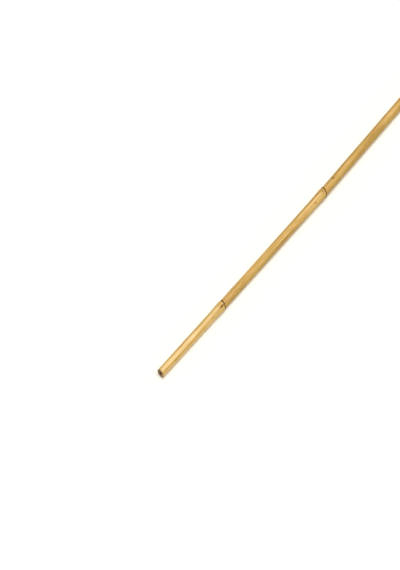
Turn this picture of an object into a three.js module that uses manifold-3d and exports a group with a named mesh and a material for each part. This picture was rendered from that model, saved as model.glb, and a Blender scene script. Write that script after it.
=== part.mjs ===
// A garden bamboo cane: one sawn length of culm, lying on its side.
// Millimetres, Z up. X runs along the cane from its tip end (-X) to its butt end (+X), and
// z = 0 is the surface that it rests on. An angle is measured round the culm from its top,
// towards +Y.
import * as THREE from "three";
import Module from "manifold-3d";
import { mergeVertices } from "three/addons/utils/BufferGeometryUtils.js";

// Driving dimensions
const LENGTH = 600;
const TIP_RADIUS = 4.4;
const BUTT_RADIUS = 5.0;
const TIP_HOLLOW = 2.3; // radius of the hollow at the tip's cut
const BUTT_HOLLOW = 2.15;
const DIAPHRAGM = 3; // thickness of the wall across a node, on the axis
const OVALNESS = 0.012;
const TIP_SLANT = 0.19; // how far the tip's cut leans, per millimetre of height
const TIP_SKEW = 0.22; // and per millimetre sideways
const BUTT_SLANT = -0.04;
const SPLINTER_LENGTH = 0.5; // short splinter that the saw left at the tip's cut
const SPLINTER_ANGLE = 1.4;
const SPLINTER_WIDTH = 0.3;
const STRAW = 0xdcb571;

// Nodes, in order from the tip: how far each is from the tip end, how much the culm turns
// sideways there (in radians), where its bud sits, which way its scar leans and how far,
// how far the scar sags towards the tip and where, and whether the culm rests on it.
const NODES = [
  { along: 96, turn: 0.004, bud: -0.32, lean: 1.8, sag: 0, sagAt: 0, rests: true },
  { along: 260, turn: 0.02, bud: 2.8, lean: 1.8, sag: 1.9, sagAt: -1.95, rests: false },
  { along: 427, turn: -0.031, bud: 0.2, lean: -0.4, sag: 0.8, sagAt: 1.2, rests: true },
  { along: 560, turn: 0.019, bud: -2.6, lean: 0.5, sag: 0.5, sagAt: 1.9, rests: true },
];
const FIRST_SLOPE = -0.005; // sideways slope of the tip's internode
const BEND_LENGTH = 5; // a bend at a node is spread over about this much

// Relief of a node, by distance from its sheath scar, positive towards the tip
const SCAR_HEIGHT = 0.34;
const SCAR_WIDTH = 0.5;
const PINCH_DEPTH = 0.1; // the culm narrows just under the scar
const PINCH_LENGTH = 5;
const PINCH_REACH = 16; // nothing of a node's relief is left this far under its scar
const RIDGE_HEIGHT = 0.36; // the swelling above the scar
const RIDGE_AT = 3;
const RIDGE_BELOW = 1.5;
const RIDGE_ABOVE = 7;
const BASE_SWELL = 0.2; // each internode is thicker at its base
const BASE_LENGTH = 40;
const BUD_HEIGHT = 0.4;
const BUD_AT = 2.5;
const BUD_LENGTH = 1.7;
const BUD_WIDTH = 1;
const SCAR_DIP = 0.5; // the scar dips under the bud
const DIP_ANGLE = 0.6;
const SAG_ANGLE = 0.8;
const WARP_LENGTH = 7; // the lean, dip and sag of a scar fade over this distance
const GROOVE_DEPTH = 0.28; // the flute that runs up the internode from its bud
const GROOVE_WIDTH = 1.5;
const GROOVE_START = 2.2;
const GROOVE_LENGTH = 45;

// How the culm lies
const REST_DEPTH = 0.15; // flat spot under each node that it rests on
const NODE_LIFT = 0.3; // gap under the other node
const END_LIFT = 0.35; // gap under both cut ends

// Mesh
const SIDES = 36;
const ROW_SCALE = 0.6; // rows crowd round each scar and spread out from it
const ROW_GROWTH = 0.35;
const ROWS_BELOW = 9;
const ROWS_ABOVE = 12;
const ROWS_BETWEEN = 5;

const UNDERSIDE = Math.PI;
const bell = (x, width) => Math.exp(-((x / width) ** 2));
const turnBetween = (a, b) => Math.atan2(Math.sin(a - b), Math.cos(a - b));
const clamp = THREE.MathUtils.clamp;
const smoothstep = THREE.MathUtils.smoothstep;

// Radius of the plain culm, growing evenly from tip to butt
const plainRadius = (along) =>
  THREE.MathUtils.lerp(TIP_RADIUS, BUTT_RADIUS, clamp(along / LENGTH, 0, 1));

// The swelling above the scar, with a steep lower side and a long upper one
function ridge(above) {
  const width = above < RIDGE_AT ? RIDGE_BELOW : RIDGE_ABOVE;
  return RIDGE_HEIGHT * bell(above - RIDGE_AT, width);
}

// Everything that one node adds to the culm's radius
function nodeRelief(node, along, angle) {
  const above = node.along - along;
  const aside = turnBetween(angle, node.bud) * plainRadius(along);
  const scar = SCAR_HEIGHT * bell(above, SCAR_WIDTH);
  const pinch = above < 0 ? -PINCH_DEPTH * Math.exp(above / PINCH_LENGTH) : 0;
  const swell = above > 0 ? BASE_SWELL * Math.exp(-above / BASE_LENGTH) : 0;
  const bud = BUD_HEIGHT * bell(above - BUD_AT, BUD_LENGTH) * bell(aside, BUD_WIDTH);
  const groove =
    above > GROOVE_START
      ? -GROOVE_DEPTH *
        bell(aside, GROOVE_WIDTH) *
        smoothstep(above, GROOVE_START, GROOVE_START + RIDGE_AT) *
        Math.exp(-(above - GROOVE_START) / GROOVE_LENGTH)
      : 0;
  return scar + pinch + ridge(above) + swell + bud + groove;
}

// Radius of the outside at a distance from the tip and an angle
function skinRadius(along, angle) {
  const oval = 1 + OVALNESS * Math.cos(2 * angle);
  const relief = NODES.filter((node) => along < node.along + PINCH_REACH)
    .reduce((sum, node) => sum + nodeRelief(node, along, angle), 0);
  return plainRadius(along) * oval + relief;
}

// How far the rows near a scar shift along the culm, so that they follow its lean, dip and sag
function scarShift(along, angle) {
  return NODES.reduce((shift, node) => {
    const fade = bell(along - node.along, WARP_LENGTH);
    const dip = SCAR_DIP * bell(turnBetween(angle, node.bud), DIP_ANGLE);
    const sag = node.sag * bell(turnBetween(angle, node.sagAt), SAG_ANGLE);
    return shift + fade * (node.lean * Math.sin(angle) + dip - sag);
  }, 0);
}

// Zero before a bend and straight after it, with a smooth turn between
const hinge = (x) => (x + Math.hypot(x, BEND_LENGTH)) / 2;

function sideways(along) {
  return NODES.reduce(
    (y, node) => y + node.turn * hinge(along - node.along),
    FIRST_SLOPE * along,
  );
}

// Height of the centre line at each node and at both ends, so that the undersides touch z = 0
function nodeHeight(node) {
  const reach = Math.max(
    ...rowOffsets().map((above) => skinRadius(node.along - above, UNDERSIDE)),
  );
  return node.rests ? reach - REST_DEPTH : reach + NODE_LIFT;
}

const supports = [
  { along: 0, height: TIP_RADIUS + END_LIFT },
  ...NODES.map((node) => ({ along: node.along, height: nodeHeight(node) })),
  { along: LENGTH, height: BUTT_RADIUS + END_LIFT },
];
const climbs = supports
  .slice(1)
  .map((to, i) => (to.height - supports[i].height) / (to.along - supports[i].along));

function height(along) {
  return NODES.reduce(
    (z, node, i) => z + (climbs[i + 1] - climbs[i]) * hinge(along - node.along),
    supports[0].height + climbs[0] * along,
  );
}

// Distances above a scar where rows of the mesh lie
function rowOffsets() {
  const count = ROWS_BELOW + ROWS_ABOVE + 1;
  return Array.from(
    { length: count },
    (_, i) => ROW_SCALE * Math.sinh((i - ROWS_BELOW) * ROW_GROWTH),
  );
}

// Rows along the outside, from the tip's cut to the butt's
function skinRows() {
  const offsets = rowOffsets();
  const nearest = offsets[0];
  const furthest = offsets[offsets.length - 1];
  const stations = [];
  let from = 0;
  for (const node of NODES) {
    const to = node.along - furthest;
    for (let i = 0; i < ROWS_BETWEEN; i += 1) {
      stations.push(THREE.MathUtils.lerp(from, to, i / ROWS_BETWEEN));
    }
    stations.push(...offsets.map((above) => node.along - above).reverse());
    from = node.along - nearest;
  }
  for (let i = 1; i <= ROWS_BETWEEN; i += 1) {
    stations.push(THREE.MathUtils.lerp(from, LENGTH, i / ROWS_BETWEEN));
  }
  return stations.map((along) => ({ along }));
}

// Rows out of a hollow, from the rounded face of the first diaphragm to the mouth at the cut
const DIAPHRAGM_FACE = [
  { back: 0, share: 0 },
  { back: 0.9, share: 0.6 },
  { back: 2.6, share: 0.9 },
  { back: 6, share: 1 },
];

function hollowRows(node, mouth, radius) {
  const outward = Math.sign(mouth - node.along);
  const floor = node.along - RIDGE_AT + (outward * DIAPHRAGM) / 2;
  return [
    ...DIAPHRAGM_FACE.map(({ back, share }) => ({
      along: floor + outward * back,
      hollow: radius * share,
    })),
    { along: mouth, hollow: radius },
  ];
}

// Round the whole section: out of the butt's hollow, along the outside and into the tip's
const rows = [
  ...hollowRows(NODES[NODES.length - 1], LENGTH, BUTT_HOLLOW),
  ...skinRows().reverse(),
  ...hollowRows(NODES[0], 0, TIP_HOLLOW).reverse(),
];

// How far a saw cut leans along the culm, at a height over the axis and a distance beside it
const sawLean = (along, rise, aside) =>
  (TIP_SLANT * rise + TIP_SKEW * aside) * bell(along, BEND_LENGTH) +
  BUTT_SLANT * rise * bell(along - LENGTH, BEND_LENGTH);

// How far the rim at the tip's cut is drawn out into its splinter
const splinter = (along, angle) =>
  -SPLINTER_LENGTH *
  bell(along, BEND_LENGTH) *
  bell(turnBetween(angle, SPLINTER_ANGLE), SPLINTER_WIDTH);

// Where a row's point at an angle lies on the real culm
function placed(row, angle) {
  const outside = row.hollow === undefined;
  const radius = outside ? skinRadius(row.along, angle) : row.hollow;
  const rise = radius * Math.cos(angle);
  const aside = radius * Math.sin(angle);
  const shift = outside ? scarShift(row.along, angle) + splinter(row.along, angle) : 0;
  return new THREE.Vector3(
    row.along + shift + sawLean(row.along, rise, aside),
    sideways(row.along) + aside,
    height(row.along) + rise,
  );
}

// The culm is turned as a plain lathe shape, and each vertex then takes its real place.
function culmGeometry() {
  const profile = rows.map(
    ({ along, hollow }) => new THREE.Vector2(hollow ?? plainRadius(along), along),
  );
  const turned = new THREE.LatheGeometry(profile, SIDES);
  const place = turned.getAttribute("position");
  for (let i = 0; i < place.count; i += 1) {
    const column = Math.floor(i / rows.length) % SIDES;
    const point = placed(rows[i % rows.length], (column / SIDES) * 2 * Math.PI);
    place.setXYZ(i, point.x, point.y, point.z);
  }
  return turned;
}

const wasm = await Module();
wasm.setup();

function toSolid(geometry) {
  geometry.deleteAttribute("normal");
  geometry.deleteAttribute("uv");
  const merged = mergeVertices(geometry);
  return new wasm.Manifold(
    new wasm.Mesh({
      numProp: 3,
      vertProperties: merged.getAttribute("position").array,
      triVerts: merged.index.array,
    }),
  );
}

function toGeometry(solid) {
  const { vertProperties, triVerts } = solid.getMesh();
  const geometry = new THREE.BufferGeometry();
  geometry.setAttribute("position", new THREE.BufferAttribute(vertProperties, 3));
  geometry.setIndex(new THREE.BufferAttribute(triVerts, 1));
  return geometry;
}

// All below z = 0 is cut away, which leaves the flat spots that the culm rests on.
const GROUND_DEPTH = 10;
const ground = new THREE.BoxGeometry(LENGTH * 2, LENGTH, GROUND_DEPTH);
ground.translate(0, 0, -GROUND_DEPTH / 2);

const geometry = toGeometry(toSolid(culmGeometry()).subtract(toSolid(ground)));
geometry.computeBoundingBox();
const middle = geometry.boundingBox.getCenter(new THREE.Vector3());
geometry.translate(-middle.x, -middle.y, 0);
geometry.computeVertexNormals();

const culm = new THREE.Mesh(
  geometry,
  new THREE.MeshStandardMaterial({ color: STRAW, roughness: 0.5, metalness: 0 }),
);
culm.name = "cane";

const cane = new THREE.Group();
cane.add(culm);

export default cane;
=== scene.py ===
import math
from collections import namedtuple

import bmesh
import bpy
import numpy as np
from mathutils import Matrix, Vector


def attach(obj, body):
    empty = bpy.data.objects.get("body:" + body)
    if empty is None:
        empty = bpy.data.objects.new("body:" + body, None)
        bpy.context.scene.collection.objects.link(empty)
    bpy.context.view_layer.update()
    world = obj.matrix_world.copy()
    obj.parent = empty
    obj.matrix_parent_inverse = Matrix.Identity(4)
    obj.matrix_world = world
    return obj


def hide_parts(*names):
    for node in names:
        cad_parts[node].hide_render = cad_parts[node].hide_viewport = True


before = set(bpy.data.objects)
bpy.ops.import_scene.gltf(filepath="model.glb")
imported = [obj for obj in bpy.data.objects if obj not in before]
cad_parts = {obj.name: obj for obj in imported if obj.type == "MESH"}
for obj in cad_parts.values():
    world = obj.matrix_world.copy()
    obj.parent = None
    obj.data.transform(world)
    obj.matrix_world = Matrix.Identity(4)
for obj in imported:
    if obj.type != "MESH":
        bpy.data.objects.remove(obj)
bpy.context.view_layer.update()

# A bamboo cane lying on a pale floor. Lengths are millimetres until a mesh is made, and the
# frame is the CAD model's: X runs from the tip end to the butt end, and z = 0 is the floor.
# An angle is measured round the culm from its top, towards +Y.
MM = 0.001
TURN = 2 * math.pi

# The culm, as in the CAD model
LENGTH = 600.0
TIP_RADIUS = 4.4
BUTT_RADIUS = 5.0
TIP_HOLLOW = 2.3
BUTT_HOLLOW = 2.15
DIAPHRAGM = 3.0
OVALNESS = 0.012
TIP_SLANT = 0.19
TIP_SKEW = 0.22
BUTT_SLANT = -0.04
SPLINTER_LENGTH = 0.5
SPLINTER_ANGLE = 1.4
SPLINTER_WIDTH = 0.3
FIRST_SLOPE = -0.005
BEND_LENGTH = 5.0

# Its nodes, from the tip: place, sideways turn in radians, angle of the bud, lean of the
# scar, how far it sags towards the tip and where, and whether the culm rests there
CulmNode = namedtuple("CulmNode", "along turn bud lean sag sag_at rests")
NODES = [
    CulmNode(96.0, 0.004, -0.32, 1.8, 0, 0, True),
    CulmNode(260.0, 0.02, 2.8, 1.8, 1.9, -1.95, False),
    CulmNode(427.0, -0.031, 0.2, -0.4, 0.8, 1.2, True),
    CulmNode(560.0, 0.019, -2.6, 0.5, 0.5, 1.9, True),
]

# Relief of a node, by distance from its sheath scar, positive towards the tip
SCAR_HEIGHT = 0.34
SCAR_WIDTH = 0.5
PINCH_DEPTH = 0.1
PINCH_LENGTH = 5.0
PINCH_REACH = 16.0
RIDGE_HEIGHT = 0.36
RIDGE_AT = 3.0
RIDGE_BELOW = 1.5
RIDGE_ABOVE = 7.0
BASE_SWELL = 0.2
BASE_LENGTH = 40.0
BUD_HEIGHT = 0.4
BUD_AT = 2.5
SCAR_DIP = 0.5
DIP_ANGLE = 0.6
SAG_ANGLE = 0.8
WARP_LENGTH = 7.0
GROOVE_DEPTH = 0.28
GROOVE_WIDTH = 1.5
GROOVE_START = 2.2
GROOVE_LENGTH = 45.0

# How it lies: how deep the flats are that it rests on, and the gaps under its other node and
# its ends. A node's reach is the most that the skin stands out within a span about its scar.
REST_DEPTH = 0.15
NODE_LIFT = 0.3
END_LIFT = 0.35
REACH_SPAN = (-2, 10)
REACH_ROWS = 121

# Finer relief, which the fine mesh adds. Waves are the fewest and the most to a turn.
SEED = 7
SCAR_RAGGED = 0.25
SCAR_RAGGED_WAVES = (3, 31)
SCAR_WANDER = 0.1
SCAR_WANDER_WAVES = (4, 13)
SCAR_LEDGE = 0.28
SCAR_SPREAD = 0.35
RIM_ROUND = 0.1
TORN_LENGTH = 0.09
TORN_REACH = 0.5
TORN_WAVES = (12, 60)
SAW_DEPTH = 0.05
SAW_TWIST = 2
SAW_WAVES = (5, 29)
BORE_UNEVEN = 0.03
BORE_WAVES = (2, 7)
DIAPHRAGM_CURVE = 2  # length of its rounded edge, in radii of the hollow

# The two scales of a bud: outline, height, and how far in from its edge each is full
BUD_START = 1.15
BUD_REACH = 5.2
BUD_SPREAD = 2.2
BUD_TAPER = 0.8
LEAST_SPREAD = 0.001
INNER_SCALE = 0.55
OUTER_HEIGHT = 0.6
OUTER_RISE = 0.3
INNER_RISE = 0.2
POINT_DROP = 0.5

# Slow lumps of the skin: depth, two lengths and how far each winds round the culm
LUMP_DEPTH = 0.04
SHORT_LUMP = 17
SHORT_TWIST = 2
LONG_LUMP = 29
LONG_TWIST = 3

# Rows and columns of the mesh. The rows by a scar crowd towards it.
SIDES = 180
DIAPHRAGM_ROWS = 9
TUBE_ROWS = 14
FACE_RINGS = 14
SCAR_ROWS = (-35, 43)
SCAR_ROW_SIZE = 1.2
SCAR_ROW_GROWTH = 0.09
CUT_ROWS = np.array([0, 0.03, 0.1, 0.25, 0.6, 1.2])
ROW_STEP = 3.0
ROW_CLEARANCE = 0.6
ROW_DECIMALS = 4
SAME_ROW = 1e-6
SAME_POINT = 1e-4

# How much paler than usual the skin is, by distance from the tip end
PALENESS = [
    (0, 0.13), (94, 0.14), (98, -0.25), (170, -0.22), (256, -0.2), (263, -0.35),
    (420, -0.2), (430, 0.04), (557, -0.08), (563, 0.05), (600, 0),
]

# Painted highlight on the lit side and painted shade away from it, as angle, width and strength
# by distance from the tip end
PAINTED_HIGHLIGHT = [
    (0, (-0.25, 0.55, 0.19)), (95, (-0.05, 0.5, 0.4)), (98, (0.2, 0.45, 0.3)),
    (220, (-0.05, 0.5, 0.25)), (256, (-0.1, 0.55, 0.2)), (263, (0.0, 0.5, 0.45)),
    (420, (0.05, 0.5, 0.4)), (600, (-0.2, 0.6, 0.3)),
]
HIGHLIGHT_MIDDLE = 0.5  # where the painted highlight is this strong, the skin is neither lightened nor darkened

# Painted shade along one edge of the skin, as angle and width. It is strongest at the tip end.
SHADED_EDGE = (0.95, 0.5)
SHADED_EDGE_LENGTH = 180.0
SHADED_EDGE_STRENGTH = 0.2

# Bands of a node, as place and width by distance above its scar: the scar's own crest, the
# lip over it, where a painted highlight lies, and the dull collar round the ridge. The stain
# reaches down from the scar.
CREST = (0.1, 0.35)
LIP = (1.2, 0.4)
COLLAR = (3.6, 3.0)
# How much the dull collar dims the painted highlight
COLLAR_DIMS_HIGHLIGHT = 0.6
STAIN_LENGTH = 5

# Dark margins of a bud's scales, by how far inside its outline: place and width
OUTER_MARGIN = (0.12, 0.1)
INNER_MARGIN = (0.05, 0.12)

# Where marks begin and end: a scar by distance from its middle, a bud and its scales by how
# far inside the outline, and the dirt and the lumps by distance from a cut
SCAR_FADE = (0.5, 0.9)
BUD_FADE = (0, 0.15)
SCALE_FADE = (0.1, 0.3)
RIM_DIRT_FADE = (0.2, 0.8)
LUMP_FADE = (0, 5)

# Where marks of a cut face begin, as a share of the way from the hollow to the rim
SAW_MARGIN = 0.1
SPLINTER_START = 0.4
TORN_START = 0.8

# Darker patches on two sides of the cut faces, as angle and amount
DARKER_SIDES = [(1.3, 1.0), (2.9, 0.7)]
DARKER_SIDE_WIDTH = 0.7

# Dark flecks: distance from the tip end, angle, half length, half width and strength
FLECKS = [
    (19.7, -0.9, 2.0, 0.9, 0.25),
    (77.5, -0.7, 1.8, 0.8, 0.18),
    (120.0, -1.1, 1.6, 0.6, 0.7),
    (242.2, -0.55, 1.3, 0.6, 0.8),
    (257.1, 0.08, 1.3, 0.8, 0.6),
    (276.3, 0.24, 2.2, 1.0, 0.8),
    (334.0, -0.6, 1.3, 0.5, 0.6),
    (486.0, 0.1, 1.5, 0.4, 0.6),
]

# The photograph's frame and view. It is 400 by 570 pixels.
FRAME_WIDTH = 400
FRAME_HEIGHT = 570
VIEW_AZIMUTH = math.radians(-51)
VIEW_ELEVATION = math.radians(63)
VIEW_DISTANCE = 1900.0
MM_PER_PIXEL = 0.967
CUT_PIXEL = (160.6, 373.5)
SENSOR = 36.0


def bell(x, width):
    return np.exp(-((x / width) ** 2))


def band(x, middle, width):
    return bell(x - middle, width)


def smooth(x, low, high):
    share = np.clip((x - low) / (high - low), 0, 1)
    return share * share * (3 - 2 * share)


def fade(distance, length):
    """1 at no distance and less beyond, and 0 on the other side."""
    return np.where(distance > 0, np.exp(-np.maximum(distance, 0) / length), 0)


def turn_between(a, b):
    return np.arctan2(np.sin(a - b), np.cos(a - b))


def sector(angle, middle, width):
    return bell(turn_between(angle, middle), width)


def wobble(seed, angle, fewest, most):
    """A ragged curve round the culm, mostly within 1, of so many waves to a turn."""
    rng = np.random.default_rng(seed)
    waves = [
        rng.normal() * np.sin(count * angle + rng.uniform(0, TURN))
        for count in range(fewest, most + 1)
    ]
    return sum(waves) / math.sqrt(len(waves))


# Form of the culm. Along is a column of distances from the tip end, and angle a row.


def plain_radius(along):
    return np.interp(along, [0, LENGTH], [TIP_RADIUS, BUTT_RADIUS])


def ridge(above):
    width = np.where(above < RIDGE_AT, RIDGE_BELOW, RIDGE_ABOVE)
    return band(above, RIDGE_AT, width)


def groove(above, aside):
    rise = smooth(above, GROOVE_START, GROOVE_START + RIDGE_AT)
    return bell(aside, GROOVE_WIDTH) * rise * fade(above - GROOVE_START, GROOVE_LENGTH)


def from_node(node, along, angle):
    """How far above a node's scar, and beside its bud, a point of the skin is."""
    return node.along - along, turn_between(angle, node.bud) * plain_radius(along)


def bud_scales(above, aside):
    """How far inside the pointed outlines of a bud's outer and inner scales a point is."""
    share = np.clip((above - BUD_START) / BUD_REACH, 0, 1)
    spread = BUD_SPREAD * np.sqrt(share) * (1 - share) ** BUD_TAPER
    across = np.abs(aside) / np.maximum(spread, LEAST_SPREAD)
    return np.maximum(1 - across, 0), np.maximum(1 - across / INNER_SCALE, 0)


def bud_relief(above, aside):
    outer, inner = bud_scales(above, aside)
    closed = OUTER_HEIGHT * smooth(outer, 0, OUTER_RISE)
    closed = closed + (1 - OUTER_HEIGHT) * smooth(inner, 0, INNER_RISE)
    return closed * (1 - POINT_DROP * smooth(above, BUD_AT, BUD_START + BUD_REACH))


def node_relief(node, along, angle):
    above, aside = from_node(node, along, angle)
    ragged = 1 + SCAR_RAGGED * wobble(SEED + int(node.along), angle, *SCAR_RAGGED_WAVES)
    scar = SCAR_HEIGHT * bell(above, np.where(above < 0, SCAR_LEDGE, SCAR_WIDTH)) * ragged
    pinch = PINCH_DEPTH * fade(-above, PINCH_LENGTH)
    swell = BASE_SWELL * fade(above, BASE_LENGTH)
    bud = BUD_HEIGHT * bud_relief(above, aside)
    relief = (
        scar - pinch + RIDGE_HEIGHT * ridge(above) + swell + bud
        - GROOVE_DEPTH * groove(above, aside)
    )
    return np.where(above > -PINCH_REACH, relief, 0)


def lumps(along, angle):
    """Slow unevenness of the skin, all of it inwards."""
    short = np.sin(along / SHORT_LUMP + SHORT_TWIST * np.sin(angle))
    long = np.sin(along / LONG_LUMP + LONG_TWIST * np.cos(angle))
    return -LUMP_DEPTH * (1 + short * long) / 2


def skin_radius(along, angle):
    relief = sum(node_relief(node, along, angle) for node in NODES)
    return plain_radius(along) * (1 + OVALNESS * np.cos(2 * angle)) + relief


def scar_shift(along, angle):
    """How far the skin's rows move along the culm, to follow the lean and sag of a scar."""
    return sum(
        band(along, node.along, WARP_LENGTH)
        * (
            node.lean * np.sin(angle)
            + SCAR_DIP * sector(angle, node.bud, DIP_ANGLE)
            - node.sag * sector(angle, node.sag_at, SAG_ANGLE)
            + SCAR_WANDER * wobble(int(node.along), angle, *SCAR_WANDER_WAVES)
        )
        for node in NODES
    )


def hinge(x):
    """0 before a bend and straight after it, with a smooth turn between."""
    return (x + np.hypot(x, BEND_LENGTH)) / 2


def sideways(along):
    return FIRST_SLOPE * along + sum(node.turn * hinge(along - node.along) for node in NODES)


def support_height(node):
    along = node.along - np.linspace(*REACH_SPAN, REACH_ROWS)
    reach = skin_radius(along, np.array(math.pi)).max()
    return reach - REST_DEPTH if node.rests else reach + NODE_LIFT


SUPPORTS = np.array(
    [(0, TIP_RADIUS + END_LIFT)]
    + [(node.along, support_height(node)) for node in NODES]
    + [(LENGTH, BUTT_RADIUS + END_LIFT)]
)
CLIMBS = np.diff(SUPPORTS[:, 1]) / np.diff(SUPPORTS[:, 0])


def height(along):
    bends = sum(
        change * hinge(along - node.along) for change, node in zip(np.diff(CLIMBS), NODES)
    )
    return SUPPORTS[0, 1] + CLIMBS[0] * along + bends


def saw_lean(along, rise, aside):
    tip = (TIP_SLANT * rise + TIP_SKEW * aside) * bell(along, BEND_LENGTH)
    return tip + BUTT_SLANT * rise * band(along, LENGTH, BEND_LENGTH)


def splinter(along, angle):
    drawn_out = bell(along, BEND_LENGTH) * sector(angle, SPLINTER_ANGLE, SPLINTER_WIDTH)
    return -SPLINTER_LENGTH * drawn_out


def torn_rim(along, angle):
    """Short ends of fibres that stand out of the rim at both cuts."""
    teeth = TORN_LENGTH * wobble(SEED + 2, angle, *TORN_WAVES)
    return teeth * (band(along, LENGTH, TORN_REACH) - bell(along, TORN_REACH))


def placed(along, radius, angle, shift=0.0):
    """Points at a radius and an angle, and shifted along the culm from where they belong."""
    rise = radius * np.cos(angle)
    aside = radius * np.sin(angle)
    x = along + shift + saw_lean(along, rise, aside)
    y = sideways(along) + aside
    z = np.maximum(height(along) + rise, 0)
    return np.stack(np.broadcast_arrays(x, y, z), axis=-1)


# The mesh is one grid of rows and columns, made in blocks that share the row where they
# meet: from the middle of the tip's diaphragm out of its hollow, over the cut face, along
# the skin, and into the butt's hollow.

End = namedtuple("End", "mouth outward hollow node")
TIP = End(0.0, -1, TIP_HOLLOW, NODES[0])
BUTT = End(LENGTH, 1, BUTT_HOLLOW, NODES[-1])

Block = namedtuple("Block", "material points uv traits")
ANGLES = math.pi + np.arange(SIDES) / SIDES * TURN  # from the underside, where the seam is
TURNS = np.arange(SIDES + 1) / SIDES

# UV sheet in millimetres: the skin in strips, and the hollows and cut faces above them
STRIPS = 4
STRIP_LENGTH = LENGTH / STRIPS
STRIP_WIDTH = TURN * BUTT_RADIUS
SHEET_GAP = 0.8
SHEET = STRIP_LENGTH + 2 * SHEET_GAP
TOP_ROW = SHEET_GAP + STRIPS * (STRIP_WIDTH + SHEET_GAP)
HOLLOW_SCALE = 0.5
HOLLOW_U = {TIP: SHEET_GAP, BUTT: 52.0}
FACE_SCALE = 1.7
FACE_U = {TIP: 88.0, BUTT: 108.0}


def unrolled(u, v):
    return np.stack(np.broadcast_arrays(u, v), axis=-1) / SHEET


TRAITS = (
    "pale", "shaded", "scar", "crest", "lip", "collar", "bud", "scale", "groove", "below",
    "inward", "depth", "dirt",
)


def traits_of(along, radius, **given):
    """What the finish reads at each point, with the grain's own straight coordinates."""
    grain = np.stack(
        np.broadcast_arrays(along, radius * np.cos(ANGLES), radius * np.sin(ANGLES)), axis=-1
    )
    zero = np.zeros(grain.shape[:2])
    return {"grain": grain, **{name: zero + given.get(name, 0) for name in TRAITS}}


def hollow_radius(end, radius):
    uneven = 1 + BORE_UNEVEN * wobble(SEED, ANGLES, *BORE_WAVES)
    return radius * (1 + (uneven - 1) * smooth(radius / end.hollow, 0, 1))


def hollow_block(end):
    """From the middle of the diaphragm, round its edge and along to the mouth."""
    floor = end.node.along - RIDGE_AT + end.outward * DIAPHRAGM / 2
    bend = np.linspace(0, math.pi / 2, DIAPHRAGM_ROWS)[:, None]
    far = floor + end.outward * end.hollow * DIAPHRAGM_CURVE * (1 - np.cos(bend))
    tube = np.linspace(far[-1, 0], end.mouth, TUBE_ROWS)[1:, None]
    along = np.concatenate([far, tube])
    radius = np.concatenate([end.hollow * np.sin(bend), np.full_like(tube, end.hollow)])
    depth = np.abs(along - end.mouth)
    points = placed(along, hollow_radius(end, radius), ANGLES)
    uv = unrolled(
        HOLLOW_U[end] + (depth + end.hollow - radius) * HOLLOW_SCALE,
        TOP_ROW + TURNS * TURN * end.hollow * HOLLOW_SCALE,
    )
    return Block("hollow", points, uv, traits_of(along, radius, depth=depth))


def face_shift(end, share):
    """How far a cut face's points move along the culm: saw marks, splinter and torn rim."""
    inner = smooth(share, 0, SAW_MARGIN) * smooth(1 - share, 0, SAW_MARGIN)
    marks = (1 + wobble(SEED + 1, ANGLES + SAW_TWIST * share, *SAW_WAVES)) * inner
    drawn_out = splinter(end.mouth, ANGLES) * smooth(share, SPLINTER_START, 1)
    drawn_out = drawn_out + torn_rim(end.mouth, ANGLES) * smooth(share, TORN_START, 1)
    return drawn_out - end.outward * SAW_DEPTH * marks


def face_block(end):
    """Across the wall, from the mouth of the hollow to the rim."""
    share = np.linspace(0, 1, FACE_RINGS)[:, None]
    mouth = np.array([[end.mouth]])
    rim = skin_radius(mouth, ANGLES) - RIM_ROUND
    start = hollow_radius(end, np.array([[end.hollow]]))
    radius = start + (rim - start) * share
    points = placed(mouth, radius, ANGLES, face_shift(end, share))
    v = TOP_ROW + BUTT_RADIUS * FACE_SCALE
    reach = (end.hollow + (BUTT_RADIUS - end.hollow) * share) * FACE_SCALE
    uv = unrolled(FACE_U[end] + reach * np.cos(TURNS * TURN), v + reach * np.sin(TURNS * TURN))
    dirt = sum(amount * sector(ANGLES, middle, DARKER_SIDE_WIDTH) for middle, amount in DARKER_SIDES)
    return Block("cut", points, uv, traits_of(end.mouth, radius, inward=1 - share, dirt=dirt))


def skin_stations():
    """Rows of the skin, close together at each scar and at the cut ends."""
    steps = np.sinh(np.arange(*SCAR_ROWS) * SCAR_ROW_GROWTH) * SCAR_ROW_SIZE
    fixed = [CUT_ROWS, LENGTH - CUT_ROWS, np.arange(STRIPS + 1) * STRIP_LENGTH]
    fixed += [node.along - steps for node in NODES]
    taken = np.unique(np.round(np.concatenate(fixed), ROW_DECIMALS))
    plain = np.arange(ROW_STEP, LENGTH, ROW_STEP)
    nearest = np.abs(plain[:, None] - taken[None, :]).min(axis=1)
    return np.sort(np.concatenate([taken, plain[nearest > ROW_STEP * ROW_CLEARANCE]]))


def node_marks(node, along):
    """Where the marks of one node lie on the skin."""
    above, aside = from_node(node, along, ANGLES)
    outer, inner = bud_scales(above, aside)
    sagging = node.sag * sector(ANGLES, node.sag_at, SAG_ANGLE)
    from_scar = np.abs(above) / (1 + SCAR_SPREAD * sagging)
    margins = band(outer, *OUTER_MARGIN) + band(inner, *INNER_MARGIN)
    return {
        "scar": 1 - smooth(from_scar, *SCAR_FADE),
        "crest": band(above, *CREST),
        "lip": band(above, *LIP),
        "collar": band(above, *COLLAR),
        "bud": smooth(outer, *BUD_FADE),
        "scale": smooth(outer, *SCALE_FADE) * (1 - margins),
        "groove": groove(above, aside),
        "below": fade(-above, STAIN_LENGTH),
    }


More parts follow.
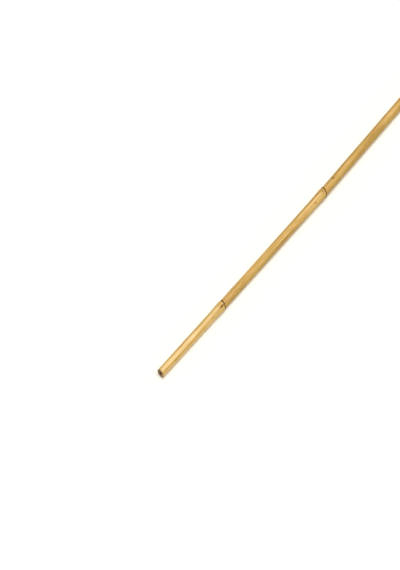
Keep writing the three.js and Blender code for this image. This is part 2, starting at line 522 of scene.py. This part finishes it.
def skin_marks(along):
    """Marks of the whole skin: those of all nodes, its painted highlight and painted shade, and
    the dirt at the cuts.
    """
    of_nodes = [node_marks(node, along) for node in NODES]
    marks = {name: sum(of_node[name] for of_node in of_nodes) for name in of_nodes[0]}
    # A painted highlight on the lit side of the skin, with painted shade on the sides away from
    # it
    stops, values = zip(*PAINTED_HIGHLIGHT)
    middle, width, strength = [np.interp(along, stops, column) for column in zip(*values)]
    highlight = sector(ANGLES, middle, width) * (1 - COLLAR_DIMS_HIGHLIGHT * marks["collar"])
    # Painted shade along one edge of the skin, strongest at the tip end
    edge_shade = SHADED_EDGE_STRENGTH * sector(ANGLES, *SHADED_EDGE) * bell(along, SHADED_EDGE_LENGTH)
    plain = np.interp(along, *zip(*PALENESS))
    marks["pale"] = plain + strength * (highlight - HIGHLIGHT_MIDDLE) - edge_shade
    # Painted shade: how far the skin is from its painted highlight
    marks["shaded"] = 1 - highlight
    marks["dirt"] = 1 - smooth(np.minimum(along, LENGTH - along), *RIM_DIRT_FADE)
    return marks


def skin_block(along, strip):
    """One strip of the skin."""
    along = along[:, None]
    from_cut = np.minimum(along, LENGTH - along)
    rounding = RIM_ROUND * np.maximum(1 - from_cut / RIM_ROUND, 0) ** 2
    uneven = lumps(along, ANGLES) * smooth(from_cut, *LUMP_FADE)
    radius = skin_radius(along, ANGLES) + uneven - rounding
    drawn_out = splinter(along, ANGLES) + torn_rim(along, ANGLES)
    points = placed(along, radius, ANGLES, scar_shift(along, ANGLES) + drawn_out)
    uv = unrolled(
        SHEET_GAP + along - strip * STRIP_LENGTH,
        SHEET_GAP + strip * (STRIP_WIDTH + SHEET_GAP) + TURNS * STRIP_WIDTH,
    )
    return Block("skin", points, uv, traits_of(along, plain_radius(along), **skin_marks(along)))


def backwards(block):
    traits = {name: values[::-1] for name, values in block.traits.items()}
    return Block(block.material, block.points[::-1], block.uv[::-1], traits)


def culm_blocks():
    stations = skin_stations()
    blocks = [hollow_block(TIP), face_block(TIP)]
    for strip in range(STRIPS):
        low = strip * STRIP_LENGTH
        high = low + STRIP_LENGTH
        inside = (stations >= low - SAME_ROW) & (stations <= high + SAME_ROW)
        blocks.append(skin_block(stations[inside], strip))
    return blocks + [backwards(face_block(BUTT)), backwards(hollow_block(BUTT))]


def grid_faces(blocks):
    """Corners of every face, its UV and its material, with shared rows counted once."""
    column = np.arange(SIDES)
    after = (column + 1) % SIDES
    faces, uvs, materials = [], [], []
    row = 0
    for block in blocks:
        for index in range(len(block.points) - 1):
            low, high = row * SIDES, (row + 1) * SIDES
            faces.append(np.stack([low + column, high + column, high + after, low + after], 1))
            near, far = block.uv[index : index + 2]
            uvs.append(np.stack([near[:-1], far[:-1], far[1:], near[1:]], axis=1))
            materials += [block.material] * SIDES
            row += 1
    return np.concatenate(faces), np.concatenate(uvs), materials


def shared_rows(blocks, read):
    """One array of all rows, without the first of each later block."""
    parts = [read(block)[min(index, 1) :] for index, block in enumerate(blocks)]
    return np.concatenate(parts)


def add_traits(mesh, blocks):
    for name in blocks[0].traits:
        values = shared_rows(blocks, lambda block: block.traits[name]).astype(np.float32)
        kind, field = ("FLOAT_VECTOR", "vector") if name == "grain" else ("FLOAT", "value")
        mesh.attributes.new(name, kind, "POINT").data.foreach_set(field, values.ravel())


def close_ends(mesh):
    """Each diaphragm's middle is a ring of no size, which becomes one point."""
    made = bmesh.new()
    made.from_mesh(mesh)
    bmesh.ops.remove_doubles(made, verts=made.verts, dist=SAME_POINT * MM)
    made.to_mesh(mesh)
    made.free()


def make_culm(materials):
    """The culm, and where the middle of its tip's cut lies."""
    blocks = culm_blocks()
    points = shared_rows(blocks, lambda block: block.points).reshape(-1, 3)
    middle = (points.min(axis=0) + points.max(axis=0)) / 2 * [1, 1, 0]
    points = (points - middle) * MM
    faces, uvs, slots = grid_faces(blocks)

    mesh = bpy.data.meshes.new("cane_culm")
    mesh.from_pydata(points.tolist(), [], faces.tolist())
    mesh.uv_layers.new(name="OFBake").data.foreach_set("uv", uvs.astype(np.float32).ravel())
    add_traits(mesh, blocks)
    names = list(materials)
    for name in names:
        mesh.materials.append(materials[name])
    mesh.polygons.foreach_set("material_index", [names.index(slot) for slot in slots])
    close_ends(mesh)
    mesh.shade_smooth()
    mesh.validate()
    culm = bpy.data.objects.new("cane_culm", mesh)
    bpy.context.scene.collection.objects.link(culm)
    return culm, placed(0.0, 0.0, 0.0) - middle


# Finishes

# Their colours, as sRGB
STRAW_DEEP = "A37730"
STRAW_DULL = "C09549"
STRAW = "D8AF68"
STRAW_PALE = "EECD94"
PINK = "DE9C62"
OLIVE = "BFA75C"
TAN = "C9974A"
SCAR = "683A02"
BUD_EDGE = "563408"
SCALE = "A06E28"
HUSK = "A87838"
SPECK = "76541C"
MILDEW = "6B5D45"
CUT_PALE = "CFB386"
CUT_FIBRE = "8A683E"
CUT_DARK = "7C6E50"
HOLLOW = "8A5826"
HOLLOW_DEEP = "522F0E"

# A pattern of noise: its size along and around the grain, a shift that sets it apart from
# the others, and its levels of detail. Its values lie about a middle.
Pattern = namedtuple("Pattern", "along around shift detail", defaults=(0.0, 2.0))
NOISE_MIDDLE = 0.5

# A wash is a colour and the most that it covers. A coat is a wash laid where a pattern shows,
# and it also says where the pattern's values begin to show and where they show fully.
Wash = namedtuple("Wash", "code most")
Coat = namedtuple("Coat", "code low high most")

# Sockets of a node that mixes two colours
MIX_SHARE = 0
MIX_UNDER = 6
MIX_OVER = 7
MIX_RESULT = 2

# The skin's grain, from broad patches to hairlines, and how much each part of it changes the
# tone, the roughness and the height in millimetres
GRAIN = {
    "patches": Pattern(45, 5.5, 0, 3),
    "stripes": Pattern(110, 2.0, 13),
    "blotches": Pattern(8, 2.4, 3),
    "streaks": Pattern(80, 0.6, 7, 3),
    "fibres": Pattern(40, 0.17, 11),
    "hairlines": Pattern(14, 0.07, 71, 1),
}
GRAIN_TONE = {
    "patches": 0.8, "stripes": 1.15, "blotches": 0.4, "streaks": 1.0, "fibres": 0.95,
    "hairlines": 0.8,
}
GRAIN_ROUGHNESS = {"patches": 0.25, "streaks": 0.35, "fibres": 0.3}
GRAIN_RELIEF = {"hairlines": 0.005, "fibres": 0.014, "streaks": 0.03}

# The skin's straw and tints
PLAIN_TONE = 0.52
TONES = [(0, STRAW_DEEP), (0.3, STRAW_DULL), (0.56, STRAW), (0.9, STRAW_PALE)]
PINK_AREAS = Pattern(24, 2.2, 17)
PINK_TINT = Coat(PINK, 0.53, 0.7, 0.25)
OLIVE_AREAS = Pattern(30, 1.8, 23)
OLIVE_TINT = Coat(OLIVE, 0.52, 0.68, 0.5)
# Painted shade: olive on the sides away from the painted highlight
OLIVE_SHADE = Wash(OLIVE, 0.3)

# Stains of the skin by a node, a painted highlight on the lip over its scar and painted shade
# in its groove
CRUST = Pattern(2.2, 1.1, 31, 3)
TAN_STAIN = Coat(TAN, 0.1, 0.6, 0.5)
DULL_COLLAR = Coat(STRAW_DULL, 0.2, 0.6, 0.4)
# Painted highlight on the lip over the scar
LIP_HIGHLIGHT = Coat(STRAW_PALE, 0.3, 0.6, 0.3)
# Painted shade in the groove above a bud, darkest along its middle
GROOVE_SHADE = Wash(STRAW_DULL, 0.3)
GROOVE_SHADE_LINE = Wash(SCALE, 0.6)
GROOVE_SHARPNESS = 3
SPORES = Pattern(0.7, 0.3, 37, 3)
SPORES_SPREAD = 0.5
MILDEW_SPOTS = Coat(MILDEW, 0.58, 0.64, 0.55)

# Blemishes of the skin, where a fleck is fully dark within its core
CHECKS = Pattern(60, 0.3, 83)
DARK_CHECKS = Coat(SPECK, 0.68, 0.74, 0.7)
FRECKLES = Pattern(1.1, 0.42, 5, 1)
FRECKLES_STEP = (0.68, 0.76)
FRECKLED_AREAS = Pattern(14, 4, 41)
FRECKLED_STEP = (0.5, 0.62)
DARK_FRECKLES = Wash(SPECK, 0.7)
FLECK_EDGE = Pattern(1.2, 0.5, 91)
FLECK_RAGGED = 1.2
FLECK_CORE = 0.7
RIM_DIRT = Wash(SPECK, 0.6)

# Buds and scars. A scar is torn where its mark, made uneven by flakes, is strong enough.
DARK_BUD = Wash(BUD_EDGE, 0.88)
WORN_SCALE = Coat(SCALE, 0.3, 0.6, 0.6)
FLAKES = Pattern(1.4, 0.35, 61, 3)
SCAR_FLAKED = 0.9
SCAR_STEP = (0.35, 0.6)
BROWN_SCAR = Wash(SCAR, 0.95)
CREST_FLAKED = 1.6
# Painted shade on the flanks of the raised scar, where its crest mark is low
SCAR_FLANK_SHADE = Coat(BUD_EDGE, 0.75, 0.2, 0.65)
SCAR_HUSK = Coat(HUSK, 0.8, 1.25, 0.65)
CREASES = Pattern(0.35, 1.6, 67, 3)
SCAR_CREASES = Coat(BUD_EDGE, 0.5, 0.42, 0.5)

# Surface of the skin, with heights in millimetres
SKIN_ROUGHNESS = 0.42
SCAR_ROUGHNESS = 0.35
BUD_ROUGHNESS = 0.25
SKIN_SPECULAR = 0.22
FRECKLE_RELIEF = -0.03
RAGS = Pattern(0.5, 0.5, 51)
RAG_RELIEF = 0.12
FLAKE_RELIEF = 0.1

# Fibre bundles of a cut face: their pattern, the dark core and the edge of each dot, and how
# far inward there are none and how far they are at their fullest. On a cut face the patterns
# are long enough along the grain to show only in section.
END_GRAIN = 500
Bundles = namedtuple("Bundles", "pattern core edge none full")
COARSE_BUNDLES = Bundles(Pattern(END_GRAIN, 0.36), 0.1, 0.34, 1.1, 0.3)
FINE_BUNDLES = Bundles(Pattern(END_GRAIN, 0.2, 4), 0.1, 0.4, 0.5, 0.2)

# The rest of the cut face, and the lining of the hollows
CUT_BLOTCHES = Pattern(END_GRAIN, 1.5, 3, 3)
CUT_TONES = [(0.3, CUT_FIBRE), (0.52, CUT_PALE)]
DARK_BUNDLES = Wash(CUT_FIBRE, 0.8)
CUT_EDGE = Pattern(END_GRAIN, 0.5, 21, 3)
CUT_EDGE_RAGGED = 0.3
CUT_RIM = Coat(CUT_DARK, 0.3, 0.1, 0.75)
CUT_MOUTH = Coat(HOLLOW, 0.86, 1, 0.7)
CUT_DARKER_SIDES = Coat(CUT_DARK, 0.3, 0.5, 0.85)
CUT_PITS = Pattern(END_GRAIN, 0.25, 9, 3)
BUNDLE_RELIEF = 0.04
PIT_RELIEF = 0.06
PAPER = Pattern(4, 1.2, 3, 4)
PAPER_TONES = [(0.35, HOLLOW), (0.7, CUT_FIBRE)]
# Painted shade: the lining darker further into the hollow
PAPER_SHADE = Coat(HOLLOW_DEEP, -1, 5, 0.85)
PAPER_RELIEF = 0.15
INNER_ROUGHNESS = 0.85
INNER_ROUGHNESS_SPREAD = 0.3
INNER_SPECULAR = 0.2


def colour(code):
    """An sRGB colour as Blender's own linear numbers."""
    parts = [int(code[i : i + 2], 16) / 255 for i in (0, 2, 4)]
    linear = [c / 12.92 if c <= 0.04045 else ((c + 0.055) / 1.055) ** 2.4 for c in parts]
    return (*linear, 1.0)


class Finish:
    """A material, with short calls for the nodes that make its pattern."""

    def __init__(self, name):
        self.material = bpy.data.materials.new(name)
        self.material.use_nodes = True
        self.tree = self.material.node_tree
        self.shader = self.tree.nodes["Principled BSDF"]

    def node(self, kind, values=(), **settings):
        made = self.tree.nodes.new(kind)
        for key, value in settings.items():
            setattr(made, key, value)
        for key, value in dict(values).items():
            if isinstance(value, bpy.types.NodeSocket):
                self.tree.links.new(value, made.inputs[key])
            else:
                made.inputs[key].default_value = value
        return made

    def trait(self, name, output="Fac"):
        return self.node("ShaderNodeAttribute", attribute_name=name).outputs[output]

    def math(self, operation, *values, clamp=False):
        made = self.node(
            "ShaderNodeMath", dict(enumerate(values)), operation=operation, use_clamp=clamp
        )
        return made.outputs[0]

    def vector(self, operation, *values):
        made = self.node("ShaderNodeVectorMath", dict(enumerate(values)), operation=operation)
        return made.outputs["Value" if operation == "LENGTH" else "Vector"]

    def times(self, first, second):
        return self.math("MULTIPLY", first, second)

    def plus(self, first, *terms):
        """first plus each (value, weight), as weight times the value."""
        for value, weight in terms:
            first = self.math("MULTIPLY_ADD", value, weight, first)
        return first

    def varied(self, first, *terms):
        """first plus each (value, weight), as weight times the noise less its middle."""
        for value, weight in terms:
            first = self.plus(first, (value, weight))
            first = self.math("SUBTRACT", first, weight * NOISE_MIDDLE)
        return first

    def step(self, value, low, high):
        """0 at low and 1 at high, and smooth between them."""
        values = {"Value": value, "From Min": low, "From Max": high}
        made = self.node("ShaderNodeMapRange", values, interpolation_type="SMOOTHSTEP")
        return made.outputs[0]

    def grain(self, pattern):
        """The grain's coordinates in steps of a pattern's size."""
        scale = (1 / pattern.along, 1 / pattern.around, 1 / pattern.around)
        shift = (pattern.shift,) * 3
        return self.vector("MULTIPLY_ADD", self.trait("grain", "Vector"), scale, shift)

    def noise(self, pattern):
        values = {"Vector": self.grain(pattern), "Scale": 1.0, "Detail": pattern.detail}
        return self.node("ShaderNodeTexNoise", values).outputs["Fac"]

    def dots(self, pattern, core, edge):
        """1 in the core of scattered dots, and 0 beyond their edge."""
        values = {"Vector": self.grain(pattern), "Scale": 1.0}
        distance = self.node("ShaderNodeTexVoronoi", values).outputs["Distance"]
        return self.step(distance, edge, core)

    def fleck(self, along, angle, length, width):
        """1 on a soft spot of the skin at a distance from the tip end and an angle."""
        radius = float(plain_radius(along))
        place = (along, radius * math.cos(angle), radius * math.sin(angle))
        away = self.vector("SUBTRACT", self.trait("grain", "Vector"), place)
        scaled = self.vector("MULTIPLY", away, (1 / length, 1 / width, 1 / width))
        size = self.vector("LENGTH", scaled)
        uneven = self.varied(size, (self.noise(FLECK_EDGE), FLECK_RAGGED))
        return self.step(uneven, 1, FLECK_CORE)

    def ramp(self, value, stops):
        made = self.node("ShaderNodeValToRGB", {"Fac": value})
        elements = made.color_ramp.elements
        while len(elements) < len(stops):
            elements.new(0.5)
        for element, (place, code) in zip(elements, stops):
            element.position = place
            element.color = colour(code)
        return made.outputs["Color"]

    def washed(self, under, wash, share):
        """A wash laid over a colour by a share."""
        made = self.node("ShaderNodeMix", data_type="RGBA")
        share = self.math("MULTIPLY", share, wash.most, clamp=True)
        self.tree.links.new(share, made.inputs[MIX_SHARE])
        self.tree.links.new(under, made.inputs[MIX_UNDER])
        made.inputs[MIX_OVER].default_value = colour(wash.code)
        return made.outputs[MIX_RESULT]

    def coated(self, under, coat, pattern, within=None):
        """A coat laid where its pattern shows, and only within a share if there is one."""
        share = self.step(pattern, coat.low, coat.high)
        if within is not None:
            share = self.times(share, within)
        return self.washed(under, coat, share)

    def finished(self, base, roughness, relief, specular):
        """Joins up the shader. Relief is a height in millimetres."""
        bump = self.node("ShaderNodeBump", {"Height": relief, "Distance": MM, "Strength": 1.0})
        self.tree.links.new(base, self.shader.inputs["Base Color"])
        self.tree.links.new(roughness, self.shader.inputs["Roughness"])
        self.tree.links.new(bump.outputs["Normal"], self.shader.inputs["Normal"])
        self.shader.inputs["Specular IOR Level"].default_value = specular
        return self.material


def weighed(grain, weights):
    return [(grain[name], weight) for name, weight in weights.items()]


def straw(skin, grain):
    """Plain culm skin: straw that the grain makes paler and duller, with faint tints, a painted
    highlight on its lit side and painted shade on its other sides.
    """
    tone = skin.math("ADD", skin.trait("pale"), PLAIN_TONE)
    base = skin.ramp(skin.varied(tone, *weighed(grain, GRAIN_TONE)), TONES)
    base = skin.coated(base, PINK_TINT, skin.noise(PINK_AREAS))
    base = skin.coated(base, OLIVE_TINT, skin.noise(OLIVE_AREAS))
    # Painted shade on the sides away from the painted highlight
    return skin.washed(base, OLIVE_SHADE, skin.trait("shaded"))


def with_node_stains_and_painted_light(skin, base):
    """Tan and mildew below a scar, a painted highlight on the lip and a dull collar above it,
    and painted shade in the groove.
    """
    crust = skin.noise(CRUST)
    below = skin.trait("below")
    groove_share = skin.trait("groove")
    groove_shade_line = skin.math("POWER", groove_share, GROOVE_SHARPNESS)
    spores = skin.varied(crust, (skin.noise(SPORES), SPORES_SPREAD))
    base = skin.coated(base, TAN_STAIN, crust, within=below)
    base = skin.coated(base, DULL_COLLAR, crust, within=skin.trait("collar"))
    # Painted highlight on the lip, then painted shade in the groove
    base = skin.coated(base, LIP_HIGHLIGHT, crust, within=skin.trait("lip"))
    base = skin.washed(base, GROOVE_SHADE, groove_share)
    base = skin.washed(base, GROOVE_SHADE_LINE, groove_shade_line)
    return skin.coated(base, MILDEW_SPOTS, spores, within=below)


def with_blemishes(skin, base, patches, freckles):
    """Fine checks along the grain, freckles, flecks and the dirty rims of the cuts."""
    base = skin.coated(base, DARK_CHECKS, skin.noise(CHECKS), within=patches)
    base = skin.washed(base, DARK_FRECKLES, freckles)
    for *place, strength in FLECKS:
        base = skin.washed(base, Wash(SPECK, strength), skin.fleck(*place))
    return skin.washed(base, RIM_DIRT, skin.trait("dirt"))


def with_buds(skin, base, fibres):
    """Dark buds, whose scales are worn paler along the fibres."""
    base = skin.washed(base, DARK_BUD, skin.trait("bud"))
    return skin.coated(base, WORN_SCALE, fibres, within=skin.trait("scale"))


def with_scars(skin, base, flakes):
    """Torn brown scars, with painted shade on their flanks at the foot of the raised ring, dark
    in their creases, and a worn crest.
    """
    torn = skin.step(skin.varied(skin.trait("scar"), (flakes, SCAR_FLAKED)), *SCAR_STEP)
    crest = skin.varied(skin.trait("crest"), (flakes, CREST_FLAKED))
    base = skin.washed(base, BROWN_SCAR, torn)
    # Painted shade on the scar's flanks
    base = skin.coated(base, SCAR_FLANK_SHADE, crest, within=torn)
    base = skin.coated(base, SCAR_HUSK, crest, within=torn)
    return skin.coated(base, SCAR_CREASES, skin.noise(CREASES), within=torn)


def skin_finish():
    """Smooth culm skin: straw, streaked and mottled along the grain, with brown scars."""
    skin = Finish("bamboo_skin")
    grain = {name: skin.noise(pattern) for name, pattern in GRAIN.items()}
    flakes = skin.noise(FLAKES)
    freckled = skin.step(skin.noise(FRECKLED_AREAS), *FRECKLED_STEP)
    freckles = skin.times(skin.step(skin.noise(FRECKLES), *FRECKLES_STEP), freckled)
    base = with_node_stains_and_painted_light(skin, straw(skin, grain))
    base = with_blemishes(skin, base, grain["patches"], freckles)
    base = with_scars(skin, with_buds(skin, base, grain["fibres"]), flakes)

    scar = skin.trait("scar")
    bud = skin.trait("bud")
    roughness = skin.varied(SKIN_ROUGHNESS, *weighed(grain, GRAIN_ROUGHNESS))
    roughness = skin.plus(roughness, (scar, SCAR_ROUGHNESS), (bud, BUD_ROUGHNESS))
    relief = skin.plus(
        0.0,
        *weighed(grain, GRAIN_RELIEF),
        (freckles, FRECKLE_RELIEF),
        (skin.times(skin.noise(RAGS), skin.math("ADD", scar, bud)), RAG_RELIEF),
        (skin.times(flakes, scar), FLAKE_RELIEF),
    )
    return skin.finished(base, roughness, relief, SKIN_SPECULAR)


def bundle_dots(cut, inward, bundles):
    dots = cut.dots(bundles.pattern, bundles.core, bundles.edge)
    return cut.times(dots, cut.step(inward, bundles.none, bundles.full))


def cut_finish():
    """Sawn end grain: pale wood with brown fibre bundles, closer together near the skin."""
    cut = Finish("bamboo_cut")
    inward = cut.trait("inward")
    coarse, fine = [bundle_dots(cut, inward, kind) for kind in (COARSE_BUNDLES, FINE_BUNDLES)]
    bundles = cut.math("MAXIMUM", coarse, fine)
    blotches = cut.noise(CUT_BLOTCHES)
    edge = cut.varied(inward, (cut.noise(CUT_EDGE), CUT_EDGE_RAGGED))
    base = cut.washed(cut.ramp(blotches, CUT_TONES), DARK_BUNDLES, bundles)
    base = cut.coated(base, CUT_RIM, edge)
    base = cut.coated(base, CUT_MOUTH, inward)
    # Darker patches on two sides of the face
    base = cut.coated(base, CUT_DARKER_SIDES, blotches, within=cut.trait("dirt"))
    roughness = cut.varied(INNER_ROUGHNESS, (blotches, INNER_ROUGHNESS_SPREAD))
    relief = cut.plus(0.0, (bundles, BUNDLE_RELIEF), (cut.noise(CUT_PITS), PIT_RELIEF))
    return cut.finished(base, roughness, relief, INNER_SPECULAR)


def hollow_finish():
    """The papery brown lining of the hollow, with painted shade that darkens it further in."""
    lining = Finish("bamboo_hollow")
    paper = lining.noise(PAPER)
    base = lining.coated(lining.ramp(paper, PAPER_TONES), PAPER_SHADE, lining.trait("depth"))
    roughness = lining.varied(INNER_ROUGHNESS, (paper, INNER_ROUGHNESS_SPREAD))
    return lining.finished(base, roughness, lining.times(paper, PAPER_RELIEF), INNER_SPECULAR)


# Studio

FLOOR_COLOUR = "F6F2E8"
FLOOR_REACH = 40000.0
FLOOR_ROUGHNESS = 0.9
FLOOR_SPECULAR = 0.1
SUN_STRENGTH = 3.0
SUN_SPREAD = math.radians(50)
SUN_FROM = Vector((0.15, -0.08, 1))
SKY_STRENGTH = 0.3


def make_floor():
    mesh = bpy.data.meshes.new("floor")
    reach = FLOOR_REACH * MM
    corners = [(-reach, -reach, 0), (reach, -reach, 0), (reach, reach, 0), (-reach, reach, 0)]
    mesh.from_pydata(corners, [], [(0, 1, 2, 3)])
    floor = bpy.data.objects.new("floor", mesh)
    bpy.context.scene.collection.objects.link(floor)
    paper = bpy.data.materials.new("floor_paper")
    paper.use_nodes = True
    shader = paper.node_tree.nodes["Principled BSDF"]
    shader.inputs["Base Color"].default_value = colour(FLOOR_COLOUR)
    shader.inputs["Roughness"].default_value = FLOOR_ROUGHNESS
    shader.inputs["Specular IOR Level"].default_value = FLOOR_SPECULAR
    mesh.materials.append(paper)


def make_light():
    sun = bpy.data.lights.new("sun", "SUN")
    sun.energy = SUN_STRENGTH
    sun.angle = SUN_SPREAD
    lamp = bpy.data.objects.new("sun", sun)
    lamp.rotation_euler = SUN_FROM.to_track_quat("Z", "Y").to_euler()
    bpy.context.scene.collection.objects.link(lamp)
    world = bpy.data.worlds.new("studio")
    world.use_nodes = True
    sky = world.node_tree.nodes["Background"]
    sky.inputs["Strength"].default_value = SKY_STRENGTH
    sky.inputs["Color"].default_value = (1, 1, 1, 1)
    bpy.context.scene.world = world
    bpy.context.scene.view_settings.view_transform = "Standard"


def make_camera(tip_middle):
    """Looks from the photograph's side, with the middle of the tip's cut at its pixel."""
    across = Vector((math.cos(VIEW_AZIMUTH), math.sin(VIEW_AZIMUTH), 0))
    back = Vector((
        math.sin(VIEW_AZIMUTH) * math.cos(VIEW_ELEVATION),
        -math.cos(VIEW_AZIMUTH) * math.cos(VIEW_ELEVATION),
        math.sin(VIEW_ELEVATION),
    ))
    up = back.cross(across)
    right_of_middle = (CUT_PIXEL[0] - FRAME_WIDTH / 2) * MM_PER_PIXEL
    above_middle = (FRAME_HEIGHT / 2 - CUT_PIXEL[1]) * MM_PER_PIXEL
    place = Vector(tip_middle) + back * VIEW_DISTANCE
    place = place - across * right_of_middle - up * above_middle
    lens = bpy.data.cameras.new("camera")
    lens.sensor_width = SENSOR
    lens.lens = SENSOR * VIEW_DISTANCE / (FRAME_HEIGHT * MM_PER_PIXEL)
    camera = bpy.data.objects.new("camera", lens)
    turned = Matrix((across, up, back)).transposed().to_4x4()
    camera.matrix_world = Matrix.Translation(place * MM) @ turned
    bpy.context.scene.collection.objects.link(camera)
    bpy.context.scene.camera = camera


finishes = {"skin": skin_finish(), "cut": cut_finish(), "hollow": hollow_finish()}
culm, tip_middle = make_culm(finishes)
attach(culm, "root")
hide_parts("cane")
make_floor()
make_light()
make_camera(tip_middle)
